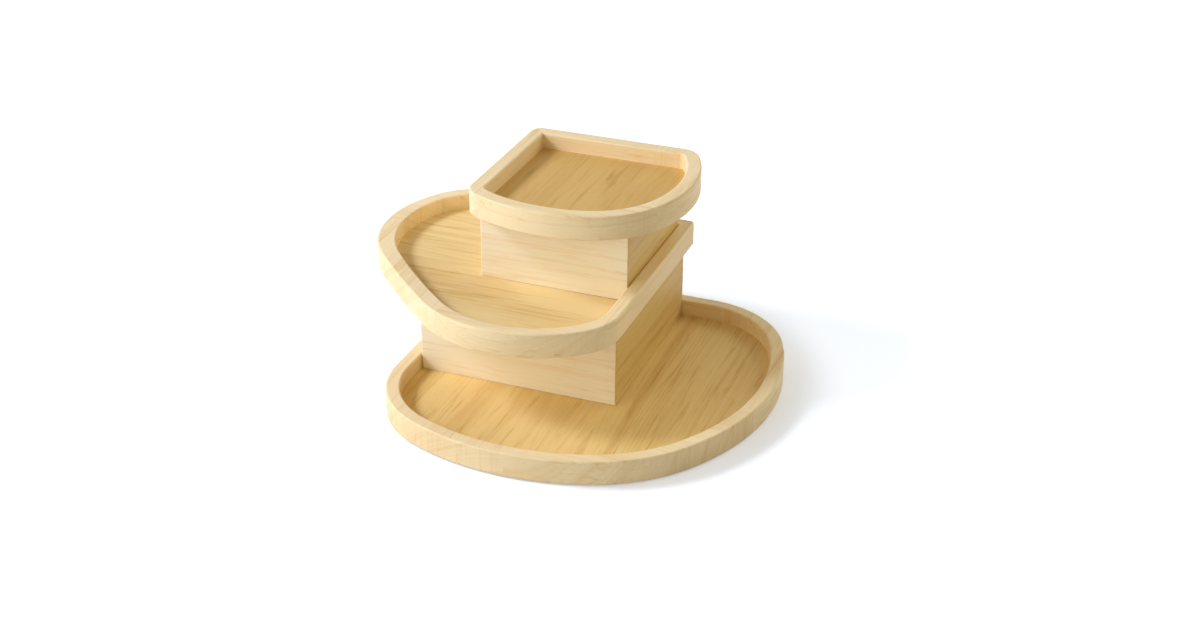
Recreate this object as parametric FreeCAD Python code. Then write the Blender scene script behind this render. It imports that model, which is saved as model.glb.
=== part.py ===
import FreeCAD, Part
import math
import os

# Stackable jewelry organizer: three curved wooden trays in a stepped stack.
# Each upper tray is glued on a square riser that stands in the square corner of the tray below.
# Millimetres and degrees. +X is to the right, +Y to the back, +Z up.
# The origin is the centre of the whole object's footprint, on the table.

V = FreeCAD.Vector

# Tray section, the same on all three trays
TRAY_HEIGHT = 20.5
FLOOR_THICKNESS = 7.0
REBATE_WIDTH = 5.0
PANEL_GAP = 0.1
RIM_TOP_ROUND = 1.6
RIM_FOOT_ROUND = 1.0
INNER_CORNER_RADIUS = 1.0

# Rim width of the trays that a riser nests in, and of the top tray
RIM_WIDTH = 11.5
TOP_RIM_WIDTH = 12.5

# Tray outlines: a square corner with two straight sides, closed by five arcs that run into each
# other. FIRST ends the straight side that runs to the front, LAST ends the one along the back,
# NOSE lies between them, and the two flanks take the radii that close the outline.
# SQUARE is the rounding outside the square corner.
BASE_WIDTH = 298.0
BASE_DEPTH = 299.0
BASE_FIRST_RADIUS = 85.0
BASE_NOSE_RADIUS = 130.0
BASE_LAST_RADIUS = 84.0
BASE_FIRST_ANGLE = 66.0
BASE_FIRST_FLANK_ANGLE = 45.0
BASE_NOSE_ANGLE = 34.0
BASE_LAST_FLANK_ANGLE = 57.0
BASE_SQUARE_RADIUS = 4.0

MIDDLE_WIDTH = 247.5
MIDDLE_DEPTH = 247.0
MIDDLE_FIRST_RADIUS = 48.0
MIDDLE_NOSE_RADIUS = 870.0
MIDDLE_LAST_RADIUS = 58.5
MIDDLE_FIRST_ANGLE = 49.4
MIDDLE_FIRST_FLANK_ANGLE = 82.0
MIDDLE_NOSE_ANGLE = 6.1
MIDDLE_LAST_FLANK_ANGLE = 77.8
MIDDLE_SQUARE_RADIUS = 4.0

# The middle tray's recess has an outline of its own, which leaves the rim wider at the far side
RECESS_WIDTH = 221.0
RECESS_DEPTH = 223.5
RECESS_FIRST_RADIUS = 38.0
RECESS_NOSE_RADIUS = 660.0
RECESS_LAST_RADIUS = 52.0
RECESS_FIRST_ANGLE = 46.6
RECESS_FIRST_FLANK_ANGLE = 83.6
RECESS_NOSE_ANGLE = 8.2
RECESS_LAST_FLANK_ANGLE = 64.6

TOP_WIDTH = 166.5
TOP_DEPTH = 166.0
TOP_FIRST_RADIUS = 21.0
TOP_NOSE_RADIUS = 78.0
TOP_LAST_RADIUS = 18.5
TOP_FIRST_ANGLE = 63.6
TOP_FIRST_FLANK_ANGLE = 40.9
TOP_NOSE_ANGLE = 53.8
TOP_LAST_FLANK_ANGLE = 49.9
TOP_SQUARE_RADIUS = 9.5

# Directions from the middle of each tray in which the rim boards meet, counted from +X
BASE_JOINT_ANGLES = {"front": 264.6, "right": 351.6, "back": 62.0, "left": 135.0}
MIDDLE_JOINT_ANGLES = {"front": 264.0, "right": 324.5, "back": 45.0, "left": 165.0}
TOP_JOINT_ANGLES = {"front": 226.0, "right": 330.0, "back": 67.5, "left": 135.0}

# Floor staves in each tray
BASE_STAVES = 5
MIDDLE_STAVES = 4
TOP_STAVES = 3

# Risers
LOWER_RISER_SIDE = 170.0
LOWER_RISER_HEIGHT = 67.5
UPPER_RISER_SIDE = 127.0
UPPER_RISER_HEIGHT = 60.5
RISER_BOARD = 9.0
RISER_EDGE_ROUND = 1.0
TRAY_OVERHANG = 7.0
NESTING_CLEARANCE = 0.3

# Inside the risers
POST_SIDE = 16.0
DOWEL_DIAMETER = 8.0
DOWEL_IN_POST = 14.0
DOWEL_IN_FLOOR = 4.5
DOWEL_SIDE_GAP = 0.05
DOWEL_END_GAP = 0.5

# Felt pads under the riser posts, and non-slip dots under the base
FELT_DIAMETER = 12.0
FELT_THICKNESS = 2.0
FELT_STAND = 0.2
REST_GAP = 0.2
DOT_DIAMETER = 12.0
DOT_THICKNESS = 1.8
DOT_STAND = 1.0
DOT_INSET = 26.0
DOT_SIDE_GAP = 0.1


class Outline:
    """Plan of one tray, in local u, v from the square corner along its two straight sides.

    radii are those of the first, nose and last arc. angles are what the first arc, the first
    flank, the nose and the last flank turn through, and the last arc turns what is left of 270.
    """

    def __init__(self, width, depth, radii, angles, square_radius):
        first_radius, nose_radius, last_radius = radii
        bounds = [0]
        for angle in angles:
            bounds.append(bounds[-1] + math.radians(angle))
        bounds.append(math.radians(270))
        across = [math.cos(bound) for bound in bounds]
        along = [math.sin(bound) for bound in bounds]

        # The flanks' radii make the arcs reach the full width and depth
        width_left = width - first_radius * (1 - across[1]) - nose_radius * (across[2] - across[3])
        depth_left = depth + nose_radius * (along[3] - along[2]) - last_radius * (1 + along[4])
        first_run = (across[1] - across[2], 1 - along[2])
        last_run = (1 + across[3], along[3] - along[4])
        scale = first_run[0] * last_run[1] - last_run[0] * first_run[1]
        first_flank = (width_left * last_run[1] - depth_left * last_run[0]) / scale
        last_flank = (depth_left * first_run[0] - width_left * first_run[1]) / scale

        radii = (first_radius, first_flank, nose_radius, last_flank, last_radius)
        first_rest = first_radius * along[1] + first_flank * (1 - along[1])
        centre = (first_radius, depth - first_rest)
        self.arcs = [(centre, first_radius, bounds[0], bounds[1])]
        for index in range(1, len(radii)):
            centre = shifted(centre, radii[index - 1] - radii[index], bounds[index])
            self.arcs.append((centre, radii[index], bounds[index], bounds[index + 1]))
        self.width = width
        self.depth = depth
        self.square_radius = square_radius
        self.first_straight = self.arcs[0][0][1]
        self.last_straight = self.arcs[-1][0][0]

    def nose_point(self, inset):
        """Middle of the nose, the given distance inside the outline."""
        centre, radius, start, end = self.arcs[2]
        return shifted(centre, radius - inset, (start + end) / 2)

    def edges(self, inset, square_radius):
        """Closed chain of local arcs and lines, moved inwards by inset."""
        chain = []
        for centre, radius, start, end in self.arcs:
            angles = (start, (start + end) / 2, end)
            chain.append([shifted(centre, radius - inset, angle) for angle in angles])
        near = inset + square_radius
        bulge = inset + square_radius * (1 - math.sqrt(0.5))
        corner = [(near, inset), (bulge, bulge), (inset, near)]
        lead_in = [chain[-1][-1], corner[0]]
        lead_out = [corner[-1], chain[0][0]]
        return chain + [lead_in, corner, lead_out]


def shifted(centre, radius, angle):
    """Point at a radius from a centre, where angle 0 points back to the straight side."""
    return (centre[0] - radius * math.cos(angle), centre[1] + radius * math.sin(angle))


class Tray:
    """A tray's outline set at its square corner. side is +1 when the tray lies to the right of it.

    The recess follows the outline at rim_width, or its own outline where it has one.
    """

    def __init__(self, name, outline, rim_width, corner_x, corner_y, side, underside):
        self.name = name
        self.outline = outline
        self.rim_width = rim_width
        self.recess = None
        self.corner = (corner_x, corner_y)
        self.side = side
        self.underside = underside
        self.floor_top = underside + FLOOR_THICKNESS
        self.rim_top = underside + TRAY_HEIGHT
        self.holes = []

    def place(self, point, z):
        return V(self.corner[0] + self.side * point[0], self.corner[1] - point[1], z)

    def span_x(self):
        return sorted((self.corner[0], self.corner[0] + self.side * self.outline.width))

    def span_y(self):
        return (self.corner[1] - self.outline.depth, self.corner[1])

    def inset_edges(self, inset):
        return self.outline.edges(inset, INNER_CORNER_RADIUS)

    def recess_edges(self):
        if self.recess is None:
            return self.inset_edges(self.rim_width)
        start = self.rim_width
        chain = self.recess.edges(0, INNER_CORNER_RADIUS)
        return [[(u + start, v + start) for u, v in points] for points in chain]

    def prism(self, chain, bottom, top):
        """Upright solid inside a closed chain of arcs and lines."""
        edges = []
        for points in chain:
            placed = [self.place(point, bottom) for point in points]
            if len(placed) == 3:
                edges.append(Part.Arc(*placed).toShape())
            else:
                edges.append(Part.LineSegment(*placed).toShape())
        face = Part.Face(Part.Wire(Part.__sortEdges__(edges)))
        return face.extrude(V(0, 0, top - bottom))


def level_edges(shape, z):
    """Edges that lie flat at height z."""
    return [edge for edge in shape.Edges if max(abs(v.Z - z) for v in edge.Vertexes) < 1e-6]


def rim_ring(tray):
    """Whole rim: rounded edges, and a rebate under its inner side for the floor panel."""
    outside = tray.outline.edges(0, tray.outline.square_radius)
    body = tray.prism(outside, tray.underside, tray.rim_top)
    body = body.makeFillet(RIM_FOOT_ROUND, level_edges(body, tray.underside))
    recess = tray.prism(tray.recess_edges(), tray.underside, tray.rim_top)
    ring = body.cut(recess)
    ring = ring.makeFillet(RIM_TOP_ROUND, level_edges(ring, tray.rim_top))
    rebate_edges = tray.inset_edges(tray.rim_width - REBATE_WIDTH)
    rebate = tray.prism(rebate_edges, tray.underside, tray.floor_top)
    return ring.cut(rebate).removeSplitter()


def sector(centre, start, end, reach, bottom, top):
    """Upright wedge from centre between two directions."""
    while end <= start:
        end += 360
    steps = max(1, math.ceil((end - start) / 60))
    corners = [V(centre[0], centre[1], bottom)]
    for index in range(steps + 1):
        angle = math.radians(start + (end - start) * index / steps)
        x = centre[0] + reach * math.cos(angle)
        y = centre[1] + reach * math.sin(angle)
        corners.append(V(x, y, bottom))
    corners.append(corners[0])
    return Part.Face(Part.makePolygon(corners)).extrude(V(0, 0, top - bottom))


def split_by_sectors(shape, centre, joints, reach):
    """Cut an upright ring into named boards that run anticlockwise from joint to joint."""
    bottom = shape.BoundBox.ZMin - 1
    top = shape.BoundBox.ZMax + 1
    ordered = sorted(joints.items(), key=lambda item: item[1])
    boards = {}
    for index, (name, start) in enumerate(ordered):
        end = ordered[(index + 1) % len(ordered)][1]
        wedge = sector(centre, start, end, reach, bottom, top)
        boards[name] = shape.common(wedge)
    return boards


def rim_boards(tray, joints):
    outline = tray.outline
    middle = tray.place((outline.width / 2, outline.depth / 2), 0)
    reach = outline.width + outline.depth
    boards = split_by_sectors(rim_ring(tray), (middle.x, middle.y), joints, reach)
    return {f"{tray.name}_rim_{side}": board for side, board in boards.items()}


def floor_staves(tray, count, grain):
    """Floor panel, sawn along its grain into equal staves. grain is "x" or "y"."""
    panel_edges = tray.inset_edges(tray.rim_width - REBATE_WIDTH + PANEL_GAP)
    panel = tray.prism(panel_edges, tray.underside, tray.floor_top)
    for hole in tray.holes:
        panel = panel.cut(hole)
    box = panel.BoundBox
    staves = {}
    for index in range(count):
        if grain == "y":
            width = box.XLength / count
            strip = Part.makeBox(width, box.YLength, box.ZLength)
            strip.translate(V(box.XMin + index * width, box.YMin, box.ZMin))
        else:
            width = box.YLength / count
            strip = Part.makeBox(box.XLength, width, box.ZLength)
            strip.translate(V(box.XMin, box.YMin + index * width, box.ZMin))
        staves[f"{tray.name}_floor_stave_{index + 1}"] = panel.common(strip)
    return staves


class Riser:
    """Square box of four mitred boards round four corner posts."""

    def __init__(self, name, left, back, side, floor_top, height):
        self.name = name
        self.left = left
        self.back = back
        self.side = side
        self.foot = floor_top + REST_GAP + FELT_STAND
        self.top = floor_top + height
        self.centre = (left + side / 2, back - side / 2)

    def block(self, inset, round_radius):
        side = self.side - 2 * inset
        block = Part.makeBox(side, side, self.top - self.foot)
        block.translate(V(self.left + inset, self.back - self.side + inset, self.foot))
        if round_radius == 0:
            return block
        upright = [edge for edge in block.Edges if edge.BoundBox.ZLength > 1]
        return block.makeFillet(round_radius, upright)

    def boards(self):
        frame = self.block(0, RISER_EDGE_ROUND).cut(self.block(RISER_BOARD, 0))
        mitres = {"right": -45, "back": 45, "left": 135, "front": 225}
        boards = split_by_sectors(frame, self.centre, mitres, 2 * self.side)
        return {f"{self.name}_{side}_board": board for side, board in boards.items()}

    def post_centres(self):
        offset = self.side / 2 - RISER_BOARD - POST_SIDE / 2
        signs = ((-1, -1), (1, -1), (1, 1), (-1, 1))
        return [(self.centre[0] + offset * sx, self.centre[1] + offset * sy) for sx, sy in signs]

    def felt_top(self):
        return self.foot - FELT_STAND + FELT_THICKNESS

    def dowel_bottom(self):
        return self.top - DOWEL_IN_POST

    def dowel_holes(self, bottom, top):
        """Round holes for the dowels, with glue room round the side and beyond the end."""
        radius = DOWEL_DIAMETER / 2 + DOWEL_SIDE_GAP
        return [upright_disc(centre, radius, bottom, top) for centre in self.post_centres()]

    def posts(self):
        posts = []
        holes = self.dowel_holes(self.dowel_bottom() - DOWEL_END_GAP, self.top)
        for (x, y), hole in zip(self.post_centres(), holes):
            post = Part.makeBox(POST_SIDE, POST_SIDE, self.top - self.felt_top())
            post.translate(V(x - POST_SIDE / 2, y - POST_SIDE / 2, self.felt_top()))
            posts.append(post.cut(hole))
        return Part.makeCompound(posts)

    def dowels(self):
        top = self.top + DOWEL_IN_FLOOR
        radius = DOWEL_DIAMETER / 2
        discs = [upright_disc(xy, radius, self.dowel_bottom(), top) for xy in self.post_centres()]
        return Part.makeCompound(discs)

    def felt_pads(self):
        bottom = self.foot - FELT_STAND
        radius = FELT_DIAMETER / 2
        discs = [upright_disc(xy, radius, bottom, self.felt_top()) for xy in self.post_centres()]
        return Part.makeCompound(discs)

    def nodes(self):
        nodes = self.boards()
        nodes[f"{self.name}_corner_posts"] = self.posts()
        nodes[f"{self.name}_dowels"] = self.dowels()
        nodes[f"{self.name}_felt_pads"] = self.felt_pads()
        return nodes


def upright_disc(centre, radius, bottom, top):
    return Part.makeCylinder(radius, top - bottom, V(centre[0], centre[1], bottom))


def base_dots(tray):
    """Non-slip dots under the base near its corners and nose, and their shallow sockets."""
    outline = tray.outline
    spots = [(DOT_INSET, DOT_INSET), (DOT_INSET, outline.first_straight)]
    spots += [(outline.last_straight, DOT_INSET), outline.nose_point(DOT_INSET)]
    bottom = tray.underside - DOT_STAND
    dots = []
    for spot in spots:
        centre = tray.place(spot, bottom)
        radius = DOT_DIAMETER / 2
        dots.append(upright_disc(centre, radius, bottom, bottom + DOT_THICKNESS))
        socket = upright_disc(centre, radius + DOT_SIDE_GAP, bottom, bottom + DOT_THICKNESS)
        tray.holes.append(socket)
    return Part.makeCompound(dots)


def base_outline():
    radii = (BASE_FIRST_RADIUS, BASE_NOSE_RADIUS, BASE_LAST_RADIUS)
    angles = (BASE_FIRST_ANGLE, BASE_FIRST_FLANK_ANGLE, BASE_NOSE_ANGLE, BASE_LAST_FLANK_ANGLE)
    return Outline(BASE_WIDTH, BASE_DEPTH, radii, angles, BASE_SQUARE_RADIUS)


def middle_outline():
    radii = (MIDDLE_FIRST_RADIUS, MIDDLE_NOSE_RADIUS, MIDDLE_LAST_RADIUS)
    angles = (MIDDLE_FIRST_ANGLE, MIDDLE_FIRST_FLANK_ANGLE, MIDDLE_NOSE_ANGLE,
              MIDDLE_LAST_FLANK_ANGLE)
    return Outline(MIDDLE_WIDTH, MIDDLE_DEPTH, radii, angles, MIDDLE_SQUARE_RADIUS)


def middle_recess():
    radii = (RECESS_FIRST_RADIUS, RECESS_NOSE_RADIUS, RECESS_LAST_RADIUS)
    angles = (RECESS_FIRST_ANGLE, RECESS_FIRST_FLANK_ANGLE, RECESS_NOSE_ANGLE,
              RECESS_LAST_FLANK_ANGLE)
    return Outline(RECESS_WIDTH, RECESS_DEPTH, radii, angles, INNER_CORNER_RADIUS)


def top_outline():
    radii = (TOP_FIRST_RADIUS, TOP_NOSE_RADIUS, TOP_LAST_RADIUS)
    angles = (TOP_FIRST_ANGLE, TOP_FIRST_FLANK_ANGLE, TOP_NOSE_ANGLE, TOP_LAST_FLANK_ANGLE)
    return Outline(TOP_WIDTH, TOP_DEPTH, radii, angles, TOP_SQUARE_RADIUS)


def stack():
    """The three trays and two risers, each set on the one below."""
    nest = RIM_WIDTH + NESTING_CLEARANCE

    base = Tray("base", base_outline(), RIM_WIDTH, 0, 0, 1, DOT_STAND)
    lower = Riser("lower_riser", nest, -nest, LOWER_RISER_SIDE, base.floor_top,
                  LOWER_RISER_HEIGHT)
    middle_x = lower.left + lower.side + TRAY_OVERHANG
    middle_y = lower.back + TRAY_OVERHANG
    middle = Tray("middle", middle_outline(), RIM_WIDTH, middle_x, middle_y, -1, lower.top)
    middle.recess = middle_recess()
    upper_left = middle_x - nest - UPPER_RISER_SIDE
    upper = Riser("upper_riser", upper_left, middle_y - nest, UPPER_RISER_SIDE,
                  middle.floor_top, UPPER_RISER_HEIGHT)
    top_x = upper.left - TRAY_OVERHANG
    top_y = upper.back + TRAY_OVERHANG
    top = Tray("top", top_outline(), TOP_RIM_WIDTH, top_x, top_y, 1, upper.top)
    for tray, riser in ((middle, lower), (top, upper)):
        reach = riser.top + DOWEL_IN_FLOOR + DOWEL_END_GAP
        tray.holes = riser.dowel_holes(riser.top, reach)
    return base, lower, middle, upper, top


def footprint_centre(trays):
    xs = [x for tray in trays for x in tray.span_x()]
    ys = [y for tray in trays for y in tray.span_y()]
    return V((min(xs) + max(xs)) / 2, (min(ys) + max(ys)) / 2, 0)


def build():
    base, lower, middle, upper, top = stack()
    nodes = {"base_dots": base_dots(base)}
    nodes.update(rim_boards(base, BASE_JOINT_ANGLES))
    nodes.update(floor_staves(base, BASE_STAVES, "y"))
    nodes.update(lower.nodes())
    nodes.update(rim_boards(middle, MIDDLE_JOINT_ANGLES))
    nodes.update(floor_staves(middle, MIDDLE_STAVES, "x"))
    nodes.update(upper.nodes())
    nodes.update(rim_boards(top, TOP_JOINT_ANGLES))
    nodes.update(floor_staves(top, TOP_STAVES, "y"))
    centre = footprint_centre((base, middle, top))
    for shape in nodes.values():
        shape.translate(centre * -1)
    return nodes


os.makedirs("parts", exist_ok=True)
for name, shape in build().items():
    shape.exportStep(f"parts/{name}.step")
    box = shape.BoundBox
    print(f"{name}: {len(shape.Solids)} solids, {shape.Volume / 1000:.2f} cm3, valid {shape.isValid()},"
          f" x {box.XMin:.2f} {box.XMax:.2f} y {box.YMin:.2f} {box.YMax:.2f}"
          f" z {box.ZMin:.2f} {box.ZMax:.2f}")
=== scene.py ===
import math

import bpy
from mathutils import Matrix, Vector

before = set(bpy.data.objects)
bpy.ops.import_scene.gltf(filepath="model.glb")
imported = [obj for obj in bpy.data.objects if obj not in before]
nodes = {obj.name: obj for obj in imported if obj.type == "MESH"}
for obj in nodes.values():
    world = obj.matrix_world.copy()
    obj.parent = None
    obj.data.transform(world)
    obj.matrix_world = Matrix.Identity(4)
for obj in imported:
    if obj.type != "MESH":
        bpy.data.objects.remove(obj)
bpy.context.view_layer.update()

# Camera, as the photograph was taken
CAMERA_PLACE = (0.46792, -1.16392, 0.71936)
CAMERA_RIGHT = (0.93684, 0.34964, 0.00940)
CAMERA_UP = (-0.16916, 0.42940, 0.88713)
CAMERA_LENS = 52.469
CAMERA_SENSOR = 36.0
CAMERA_SHIFT_X = -0.00347
CAMERA_SHIFT_Y = -0.00406
CAMERA_REACH = 50

# Lamps: name, place, size, power and colour. They all point at the middle of the stack.
LAMP_TARGET = (0, 0, 0.06)
LAMPS = (
    ("window", (-1.62, -0.47, 1.45), (0.5, 0.5), 31.5, (0.778, 0.818, 1.0)),
    ("front panel", (-1.3, -1.7, 0.9), (2.4, 1.6), 24, (1.0, 0.98, 0.95)),
    ("back panel", (1.3, 1.5, 1.0), (1.6, 1.4), 15, (1.0, 0.93, 0.75)),
)
ROOM_COLOR = (1.0, 0.926, 0.744, 1)
ROOM_STRENGTH = 0.285
BACKDROP_COLOR = (1, 1, 1, 1)
BACKDROP_STRENGTH = 1.0

# Table: what lights the object, what the camera sees, and the glow that fades the shadow out
TABLE_SIZE = 12.0
TABLE_COLOR = (0.80, 0.80, 0.80, 1)
TABLE_SEEN_COLOR = (0.93, 0.955, 0.985, 1)
TABLE_GLOW_COLOR = (0.76, 0.84, 1.0, 1)
TABLE_GLOW = 0.305
# Where more glow starts and where it is full, as distances from the middle, and how much it is
TABLE_GLOW_STEPS = (
    (0.18, 0.245, 0.33),
    (0.60, 2.50, 0.60),
)
# Rays shorter than this start on the underside of the base
TABLE_CLEARANCE = 0.004

# Ways a board can be laid: the direction that its grain runs in
LEFT_TO_RIGHT = 0.0
FRONT_TO_BACK = 90.0

# Marks in the wood per metre: along the grain, across it and through the board
WANDER_MARKS = (3, 11, 11)
FIBRE_MARKS = (9, 800, 800)
STREAK_MARKS = (17, 230, 230)
PORE_MARKS = (90, 1300, 1300)
RAY_MARKS = (300, 300, 14)
CLOUD_MARKS = (6, 22, 22)
BROAD_RINGS = 150.0
FINE_RINGS = 620.0
RING_WANDER = 0.022

# How much each kind of mark darkens the wood
BROAD_RING_TONE = 0.50
FINE_RING_TONE = 0.38
FIBRE_TONE = 0.42
PORE_TONE = 0.20
RAY_TONE = 0.20
CLOUD_TONE = 0.8
END_GRAIN_TONE = 0.12

# Where one board's piece of the log lies from the next one's
LOG_STEP = (0.731, 0.387, 0.211)

RIM_SEED = 1
FLOOR_SEEDS = {"base": 20, "middle": 26, "top": 32}
RISER_SEED = 40
BARE_WOOD_SEED = 60


def linear(red, green, blue):
    """A colour as it looks on a screen, 0 to 255, as the shader's linear RGBA."""
    channels = []
    for value in (red, green, blue):
        share = value / 255
        channels.append(share / 12.92 if share <= 0.04045 else ((share + 0.055) / 1.055) ** 2.4)
    return (*channels, 1.0)


# Pale and deep colour of each kind of board
RIM_COLORS = (linear(251, 230, 185), linear(221, 182, 113))
BASE_FLOOR_COLORS = (linear(244, 214, 143), linear(206, 158, 78))
MIDDLE_FLOOR_COLORS = (linear(245, 219, 156), linear(209, 163, 87))
# The top tray's floor is deeper than the other floors, as painted shade from its walls and from the
# things lying in it
TOP_FLOOR_PAINTED_SHADE_COLORS = (linear(220, 181, 108), linear(186, 142, 68))
# The riser fronts are paler than the wood, as painted light, and the riser right sides deeper, as
# painted shade
RISER_FRONT_PAINTED_LIGHT_COLORS = (linear(254, 244, 215), linear(238, 203, 150))
RISER_RIGHT_PAINTED_SHADE_COLORS = (linear(226, 195, 122), linear(197, 152, 72))
BARE_WOOD_COLORS = (linear(232, 208, 164), linear(196, 154, 98))
FELT_COLORS = (linear(232, 222, 202), linear(205, 192, 168))
RUBBER_COLORS = (linear(222, 220, 212), linear(203, 200, 190))

# Each rim board, the way its grain runs and where the log's heart lies beside and below it
RIMS = (
    ("base_rim_left", FRONT_TO_BACK, (0.02, 0.09)),
    ("base_rim_front", LEFT_TO_RIGHT, (-0.08, 0.06)),
    ("base_rim_right", FRONT_TO_BACK, (0.05, 0.07)),
    ("base_rim_back", LEFT_TO_RIGHT, (0.03, 0.08)),
    ("middle_rim_left", FRONT_TO_BACK, (0.04, 0.08)),
    ("middle_rim_front", LEFT_TO_RIGHT, (-0.05, 0.06)),
    ("middle_rim_right", FRONT_TO_BACK, (0.06, 0.06)),
    ("middle_rim_back", LEFT_TO_RIGHT, (0.04, 0.07)),
    ("top_rim_left", FRONT_TO_BACK, (0.05, 0.07)),
    ("top_rim_front", LEFT_TO_RIGHT, (-0.03, 0.07)),
    ("top_rim_right", FRONT_TO_BACK, (0.05, 0.05)),
    ("top_rim_back", LEFT_TO_RIGHT, (0.02, 0.09)),
)
FLOORS = (
    ("base", BASE_FLOOR_COLORS, FRONT_TO_BACK),
    ("middle", MIDDLE_FLOOR_COLORS, LEFT_TO_RIGHT),
    ("top", TOP_FLOOR_PAINTED_SHADE_COLORS, FRONT_TO_BACK),
)
# This stave has the bolder rings that show beside the lower riser
BOLD_STAVE = "base_floor_stave_4"


def aim(obj, target):
    direction = Vector(target) - obj.location
    obj.rotation_euler = direction.to_track_quat("-Z", "Y").to_euler()


def add_camera():
    camera = bpy.data.objects.new("camera", bpy.data.cameras.new("camera"))
    bpy.context.scene.collection.objects.link(camera)
    right = Vector(CAMERA_RIGHT).normalized()
    up = Vector(CAMERA_UP).normalized()
    back = right.cross(up).normalized()
    turn = Matrix((right, back.cross(right), back)).transposed().to_4x4()
    camera.matrix_world = Matrix.Translation(CAMERA_PLACE) @ turn
    camera.data.sensor_width = CAMERA_SENSOR
    camera.data.lens = CAMERA_LENS
    camera.data.shift_x = CAMERA_SHIFT_X
    camera.data.shift_y = CAMERA_SHIFT_Y
    camera.data.clip_end = CAMERA_REACH
    bpy.context.scene.camera = camera


class Tree:
    """Short hand for placing and joining shader nodes."""

    def __init__(self, tree):
        self.tree = tree

    def node(self, kind, settings=None, **values):
        made = self.tree.nodes.new("ShaderNode" + kind)
        for name, value in (settings or {}).items():
            setattr(made, name, value)
        for name, value in values.items():
            self.feed(made.inputs[name.replace("_", " ")], value)
        return made

    def feed(self, socket, value):
        if isinstance(value, bpy.types.NodeSocket):
            self.tree.links.new(value, socket)
        else:
            socket.default_value = value

    def math(self, operation, *values, clamp=False):
        made = self.tree.nodes.new("ShaderNodeMath")
        made.operation = operation
        made.use_clamp = clamp
        for socket, value in zip(made.inputs, values):
            self.feed(socket, value)
        return made.outputs[0]

    def stretch(self, vector, scale):
        made = self.tree.nodes.new("ShaderNodeVectorMath")
        made.operation = "MULTIPLY"
        self.feed(made.inputs[0], vector)
        made.inputs[1].default_value = scale
        return made.outputs[0]

    def mix(self, share, first, second):
        made = self.tree.nodes.new("ShaderNodeMix")
        made.data_type = "RGBA"
        made.clamp_factor = True
        self.feed(made.inputs["Factor"], share)
        self.feed(made.inputs["A"], first)
        self.feed(made.inputs["B"], second)
        return made.outputs["Result"]

    def band(self, value, low, high):
        """0 below low, 1 above high, smooth between."""
        made = self.tree.nodes.new("ShaderNodeMapRange")
        made.interpolation_type = "SMOOTHSTEP"
        self.feed(made.inputs["Value"], value)
        made.inputs["From Min"].default_value = low
        made.inputs["From Max"].default_value = high
        return made.outputs["Result"]

    def choose(self, share, first, second):
        """The first shader where share is 0, the second where it is 1."""
        made = self.tree.nodes.new("ShaderNodeMixShader")
        self.feed(made.inputs[0], share)
        self.feed(made.inputs[1], first.outputs[0])
        self.feed(made.inputs[2], second.outputs[0])
        return made

    def seen(self, path):
        """1 where the surface is looked at, straight, in a reflection or through glass."""
        direct = self.math("MAXIMUM", path.outputs["Is Camera Ray"], path.outputs["Is Glossy Ray"])
        return self.math("MAXIMUM", direct, path.outputs["Is Transmission Ray"])


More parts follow.
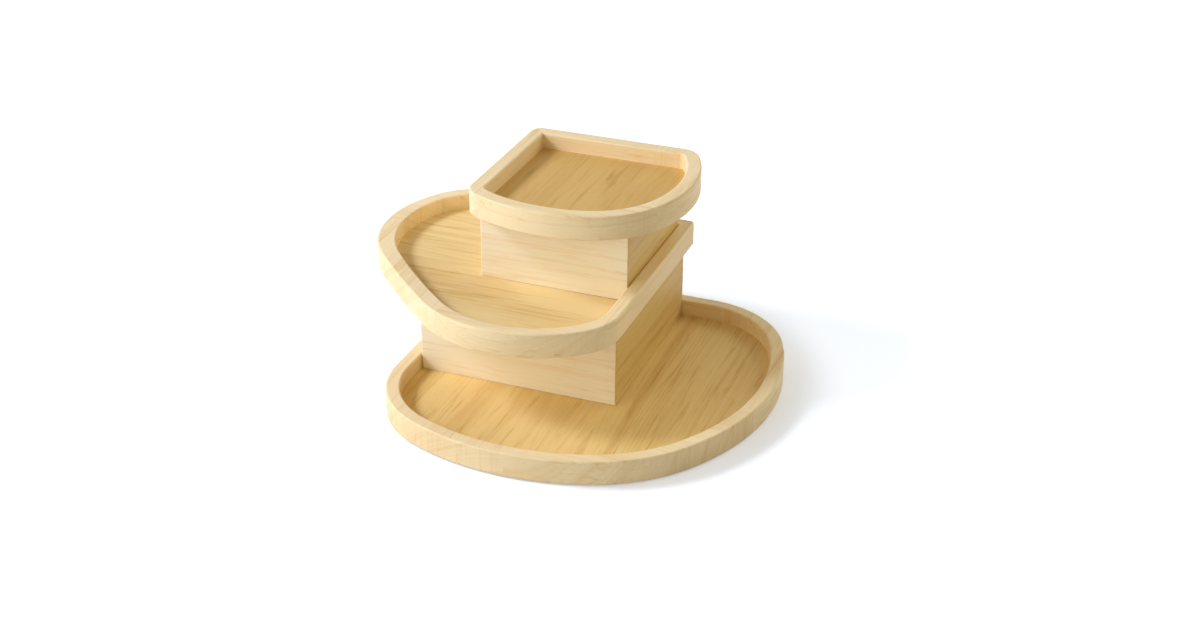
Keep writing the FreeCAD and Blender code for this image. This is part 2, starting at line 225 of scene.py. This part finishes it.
def wood_group():
    """Sawn board: growth rings, fibre, pores and end grain. Grain runs along the vector's X."""
    group = bpy.data.node_groups.new("sawn board", "ShaderNodeTree")
    face = group.interface
    face.new_socket("Board", in_out="INPUT", socket_type="NodeSocketVector")
    face.new_socket("Facing", in_out="INPUT", socket_type="NodeSocketVector")
    face.new_socket("Pale", in_out="INPUT", socket_type="NodeSocketColor")
    face.new_socket("Deep", in_out="INPUT", socket_type="NodeSocketColor")
    face.new_socket("Rings", in_out="INPUT", socket_type="NodeSocketFloat")
    face.new_socket("Streaks", in_out="INPUT", socket_type="NodeSocketFloat")
    face.new_socket("Pith Side", in_out="INPUT", socket_type="NodeSocketFloat")
    face.new_socket("Pith Depth", in_out="INPUT", socket_type="NodeSocketFloat")
    face.new_socket("Color", in_out="OUTPUT", socket_type="NodeSocketColor")
    face.new_socket("Height", in_out="OUTPUT", socket_type="NodeSocketFloat")
    face.new_socket("Roughness", in_out="OUTPUT", socket_type="NodeSocketFloat")
    t = Tree(group)
    given = group.nodes.new("NodeGroupInput")
    out = group.nodes.new("NodeGroupOutput")
    board = given.outputs["Board"]

    # Distance from the log's heart, which wanders slowly along the board
    wander = t.node("TexNoise", Vector=t.stretch(board, WANDER_MARKS), Scale=1.0, Detail=2.0)
    split = t.node("SeparateXYZ", Vector=board)
    side = t.math("ADD", split.outputs["Y"], given.outputs["Pith Side"])
    depth = t.math("ADD", split.outputs["Z"], given.outputs["Pith Depth"])
    squares = t.math("ADD", t.math("MULTIPLY", side, side), t.math("MULTIPLY", depth, depth))
    distance = t.math("SQRT", squares)
    shift = t.math("MULTIPLY", wander.outputs[0], RING_WANDER)
    radius = t.math("ADD", distance, shift)

    # Broad and fine rings
    broad = t.node("TexNoise", {"noise_dimensions": "1D"}, W=t.math("MULTIPLY", radius, BROAD_RINGS),
                   Scale=1.0, Detail=1.0)
    fine = t.node("TexNoise", {"noise_dimensions": "1D"}, W=t.math("MULTIPLY", radius, FINE_RINGS),
                  Scale=1.0, Detail=2.0)
    broad_bands = t.math("MULTIPLY", t.band(broad.outputs[0], 0.44, 0.78), BROAD_RING_TONE)
    fine_bands = t.math("MULTIPLY", t.band(fine.outputs[0], 0.42, 0.78), FINE_RING_TONE)
    rings = t.math("ADD", broad_bands, fine_bands)
    rings = t.math("MULTIPLY", rings, given.outputs["Rings"])

    # How far the surface is cut across the grain: 0 along it, 1 on the board's end
    facing = t.node("SeparateXYZ", Vector=given.outputs["Facing"])
    cut_across = t.band(t.math("ABSOLUTE", facing.outputs["X"]), 0.35, 0.95)
    cut_along = t.math("SUBTRACT", 1.0, cut_across)

    # Fibre lines, which fade on the end grain but don't leave it
    fibre = t.node("TexNoise", Vector=t.stretch(board, FIBRE_MARKS), Scale=1.0, Detail=3.0)
    fibre_tone = t.math("MULTIPLY", t.math("SUBTRACT", fibre.outputs[0], 0.5), FIBRE_TONE)
    fibre_share = t.math("ADD", 0.3, t.math("MULTIPLY", cut_along, 0.7))
    fibre_tone = t.math("MULTIPLY", fibre_tone, fibre_share)

    # Short darker streaks along the grain
    streak = t.node("TexNoise", Vector=t.stretch(board, STREAK_MARKS), Scale=1.0, Detail=3.0,
                    Distortion=0.6)
    streak_tone = t.math("MULTIPLY", t.band(streak.outputs[0], 0.52, 0.74), given.outputs["Streaks"])
    streak_tone = t.math("MULTIPLY", streak_tone, cut_along)

    # Short open pores
    pore = t.node("TexNoise", Vector=t.stretch(board, PORE_MARKS), Scale=1.0, Detail=1.0)
    pores = t.math("MULTIPLY", t.band(pore.outputs[0], 0.60, 0.74), PORE_TONE)

    # Rays show as short upright strokes where the board is cut across
    ray = t.node("TexNoise", Vector=t.stretch(board, RAY_MARKS), Scale=1.0, Detail=2.0)
    ray_share = t.math("MULTIPLY", cut_across, RAY_TONE)
    rays = t.math("MULTIPLY", t.band(ray.outputs[0], 0.44, 0.72), ray_share)

    # Slow change of tone over the board
    cloud = t.node("TexNoise", Vector=t.stretch(board, CLOUD_MARKS), Scale=1.0, Detail=1.0)
    clouds = t.math("MULTIPLY", t.math("SUBTRACT", cloud.outputs[0], 0.5), CLOUD_TONE)

    tone = t.math("ADD", rings, streak_tone)
    tone = t.math("ADD", tone, fibre_tone)
    tone = t.math("ADD", tone, pores)
    tone = t.math("ADD", tone, rays)
    tone = t.math("ADD", tone, clouds)
    tone = t.math("ADD", tone, t.math("MULTIPLY", cut_across, END_GRAIN_TONE), clamp=True)
    color = t.mix(tone, given.outputs["Pale"], given.outputs["Deep"])
    height = t.math("SUBTRACT", t.math("MULTIPLY", fibre.outputs[0], 0.5), pores)
    roughness = t.math("ADD", 0.50, t.math("MULTIPLY", tone, 0.16))
    t.feed(out.inputs["Color"], color)
    t.feed(out.inputs["Height"], height)
    t.feed(out.inputs["Roughness"], roughness)
    return group


def wood(name, group, grain, colors, seed, rings=0.5, streaks=0.4, pith=(0.03, 0.05)):
    """One board's finish.

    grain is the way the board is laid, colors are its pale and deep colour, seed picks the piece
    of the log that it is sawn from, and pith is how far beside and below it the log's heart lies.
    """
    material = bpy.data.materials.new(name)
    material.use_nodes = True
    material.node_tree.nodes.clear()
    t = Tree(material.node_tree)
    place = t.node("TexCoord")
    turn = math.radians(grain)
    log_place = tuple(step * seed for step in LOG_STEP)
    laid = t.node("Mapping", {"vector_type": "POINT"}, Vector=place.outputs["Object"])
    laid.inputs["Rotation"].default_value = (0, 0, -turn)
    laid.inputs["Location"].default_value = log_place
    faced = t.node("Mapping", {"vector_type": "NORMAL"}, Vector=place.outputs["Normal"])
    faced.inputs["Rotation"].default_value = (0, 0, -turn)
    board = t.node("Group", {"node_tree": group}, Board=laid.outputs[0], Facing=faced.outputs[0])
    board.inputs["Pale"].default_value = colors[0]
    board.inputs["Deep"].default_value = colors[1]
    board.inputs["Rings"].default_value = rings
    board.inputs["Streaks"].default_value = streaks
    board.inputs["Pith Side"].default_value = pith[0] - log_place[1]
    board.inputs["Pith Depth"].default_value = pith[1] - log_place[2]
    bump = t.node("Bump", Strength=0.12, Distance=0.0004, Height=board.outputs["Height"])
    shader = t.node("BsdfPrincipled", Base_Color=board.outputs["Color"],
                    Roughness=board.outputs["Roughness"], Normal=bump.outputs[0])
    shader.inputs["Specular IOR Level"].default_value = 0.3
    end = t.node("OutputMaterial")
    t.feed(end.inputs["Surface"], shader.outputs[0])
    return material


def fine_grained(name, colors, scale, roughness, relief, sheen=0.0):
    """A small soft part: two close colours in a fine grain, with a slight relief."""
    material = bpy.data.materials.new(name)
    material.use_nodes = True
    material.node_tree.nodes.clear()
    t = Tree(material.node_tree)
    place = t.node("TexCoord")
    grain = t.node("TexNoise", Vector=place.outputs["Object"], Scale=scale, Detail=4.0)
    color = t.mix(t.band(grain.outputs[0], 0.35, 0.70), colors[0], colors[1])
    rough = t.math("ADD", roughness - 0.05, t.math("MULTIPLY", grain.outputs[0], 0.1))
    bump = t.node("Bump", Strength=relief, Distance=0.0003, Height=grain.outputs[0])
    shader = t.node("BsdfPrincipled", Base_Color=color, Roughness=rough, Normal=bump.outputs[0])
    shader.inputs["Sheen Weight"].default_value = sheen
    end = t.node("OutputMaterial")
    t.feed(end.inputs["Surface"], shader.outputs[0])
    return material


def finish_node(name, material):
    slots = nodes[name].data.materials
    if len(slots) == 0:
        slots.append(material)
    for index in range(len(slots)):
        slots[index] = material


def finish_rims(group):
    for seed, (name, grain, pith) in enumerate(RIMS, RIM_SEED):
        board = wood(name + " wood", group, grain, RIM_COLORS, seed, rings=0.40, streaks=0.35, pith=pith)
        finish_node(name, board)


def finish_floors(group):
    for tray, colors, grain in FLOORS:
        staves = sorted(name for name in nodes if name.startswith(tray + "_floor_stave"))
        for seed, name in enumerate(staves, FLOOR_SEEDS[tray]):
            # The staves come from different logs, so their hearts lie in different places
            pith = (0.03 * math.sin(5.0 * seed), 0.05 + 0.02 * math.cos(3.0 * seed))
            rings = 0.65 if name == BOLD_STAVE else 0.45
            stave = wood(name + " wood", group, grain, colors, seed, rings, streaks=0.44, pith=pith)
            finish_node(name, stave)


def finish_risers(group):
    """The outer boards of both risers. The front ones are paler, as painted light, and the right ones
    deeper, as painted shade. The back and left ones match the rims.
    """
    boards = sorted(name for name in nodes if name.endswith("_board"))
    for seed, name in enumerate(boards, RISER_SEED):
        side = name.split("_")[2]
        grain = LEFT_TO_RIGHT if side in ("front", "back") else FRONT_TO_BACK
        colors = {"front": RISER_FRONT_PAINTED_LIGHT_COLORS, "right": RISER_RIGHT_PAINTED_SHADE_COLORS}.get(side, RIM_COLORS)
        finish_node(name, wood(name + " wood", group, grain, colors, seed, rings=0.42, streaks=0.46))


def finish_hidden_parts(group):
    felt = fine_grained("wool felt", FELT_COLORS, scale=1400, roughness=0.92, relief=0.5, sheen=0.4)
    rubber = fine_grained("soft rubber", RUBBER_COLORS, scale=2600, roughness=0.45, relief=0.15)
    finish_node("base_dots", rubber)
    for seed, name in enumerate(("lower_riser", "upper_riser"), BARE_WOOD_SEED):
        bare = wood(name + " bare wood", group, LEFT_TO_RIGHT, BARE_WOOD_COLORS, seed)
        finish_node(name + "_corner_posts", bare)
        finish_node(name + "_dowels", bare)
        finish_node(name + "_felt_pads", felt)


def add_table():
    bpy.ops.mesh.primitive_plane_add(size=TABLE_SIZE, location=(0, 0, 0))
    table = bpy.context.object
    table.name = "table"
    material = bpy.data.materials.new("white table")
    material.use_nodes = True
    material.node_tree.nodes.clear()
    t = Tree(material.node_tree)
    matte = t.node("BsdfDiffuse", Color=TABLE_COLOR)
    bright = t.node("BsdfDiffuse", Color=TABLE_SEEN_COLOR)

    # The table glows more away from the object, so the soft shadow fades out
    place = t.node("TexCoord")
    reach = t.node("VectorMath", {"operation": "LENGTH"}, Vector=place.outputs["Object"])
    strength = TABLE_GLOW
    for start, full, extra in TABLE_GLOW_STEPS:
        step = t.math("MULTIPLY", t.band(reach.outputs["Value"], start, full), extra)
        strength = t.math("ADD", strength, step)
    glow = t.node("Emission", Color=TABLE_GLOW_COLOR, Strength=strength)
    glowing = t.node("AddShader")
    t.feed(glowing.inputs[0], bright.outputs[0])
    t.feed(glowing.inputs[1], glow.outputs[0])
    path = t.node("LightPath")
    top_face = t.choose(t.seen(path), matte, glowing)

    # The table is clear from below and right under the base, so the underside can be seen
    clear = t.node("BsdfTransparent", Color=(1, 1, 1, 1))
    geometry = t.node("NewGeometry")
    close = t.math("LESS_THAN", path.outputs["Ray Length"], TABLE_CLEARANCE)
    hidden = t.math("MAXIMUM", geometry.outputs["Backfacing"], close)
    end = t.node("OutputMaterial")
    t.feed(end.inputs["Surface"], t.choose(hidden, top_face, clear).outputs[0])
    table.data.materials.append(material)


def add_lamp(name, place, size, power, color):
    lamp = bpy.data.objects.new(name, bpy.data.lights.new(name, "AREA"))
    bpy.context.scene.collection.objects.link(lamp)
    lamp.location = place
    lamp.data.shape = "RECTANGLE"
    lamp.data.size, lamp.data.size_y = size
    lamp.data.energy = power
    lamp.data.color = color
    aim(lamp, LAMP_TARGET)


def light_studio():
    """A soft room, white where it is looked at, with the lamps in it."""
    world = bpy.data.worlds.new("studio")
    bpy.context.scene.world = world
    world.use_nodes = True
    world.node_tree.nodes.clear()
    t = Tree(world.node_tree)
    room = t.node("Background", Color=ROOM_COLOR, Strength=ROOM_STRENGTH)
    backdrop = t.node("Background", Color=BACKDROP_COLOR, Strength=BACKDROP_STRENGTH)
    path = t.node("LightPath")
    end = t.node("OutputWorld")
    t.feed(end.inputs["Surface"], t.choose(t.seen(path), room, backdrop).outputs[0])
    for name, place, size, power, color in LAMPS:
        add_lamp(name, place, size, power, color)


add_camera()
add_table()
light_studio()
sawn_board = wood_group()
finish_rims(sawn_board)
finish_floors(sawn_board)
finish_risers(sawn_board)
finish_hidden_parts(sawn_board)

bpy.context.scene.view_settings.view_transform = "Standard"
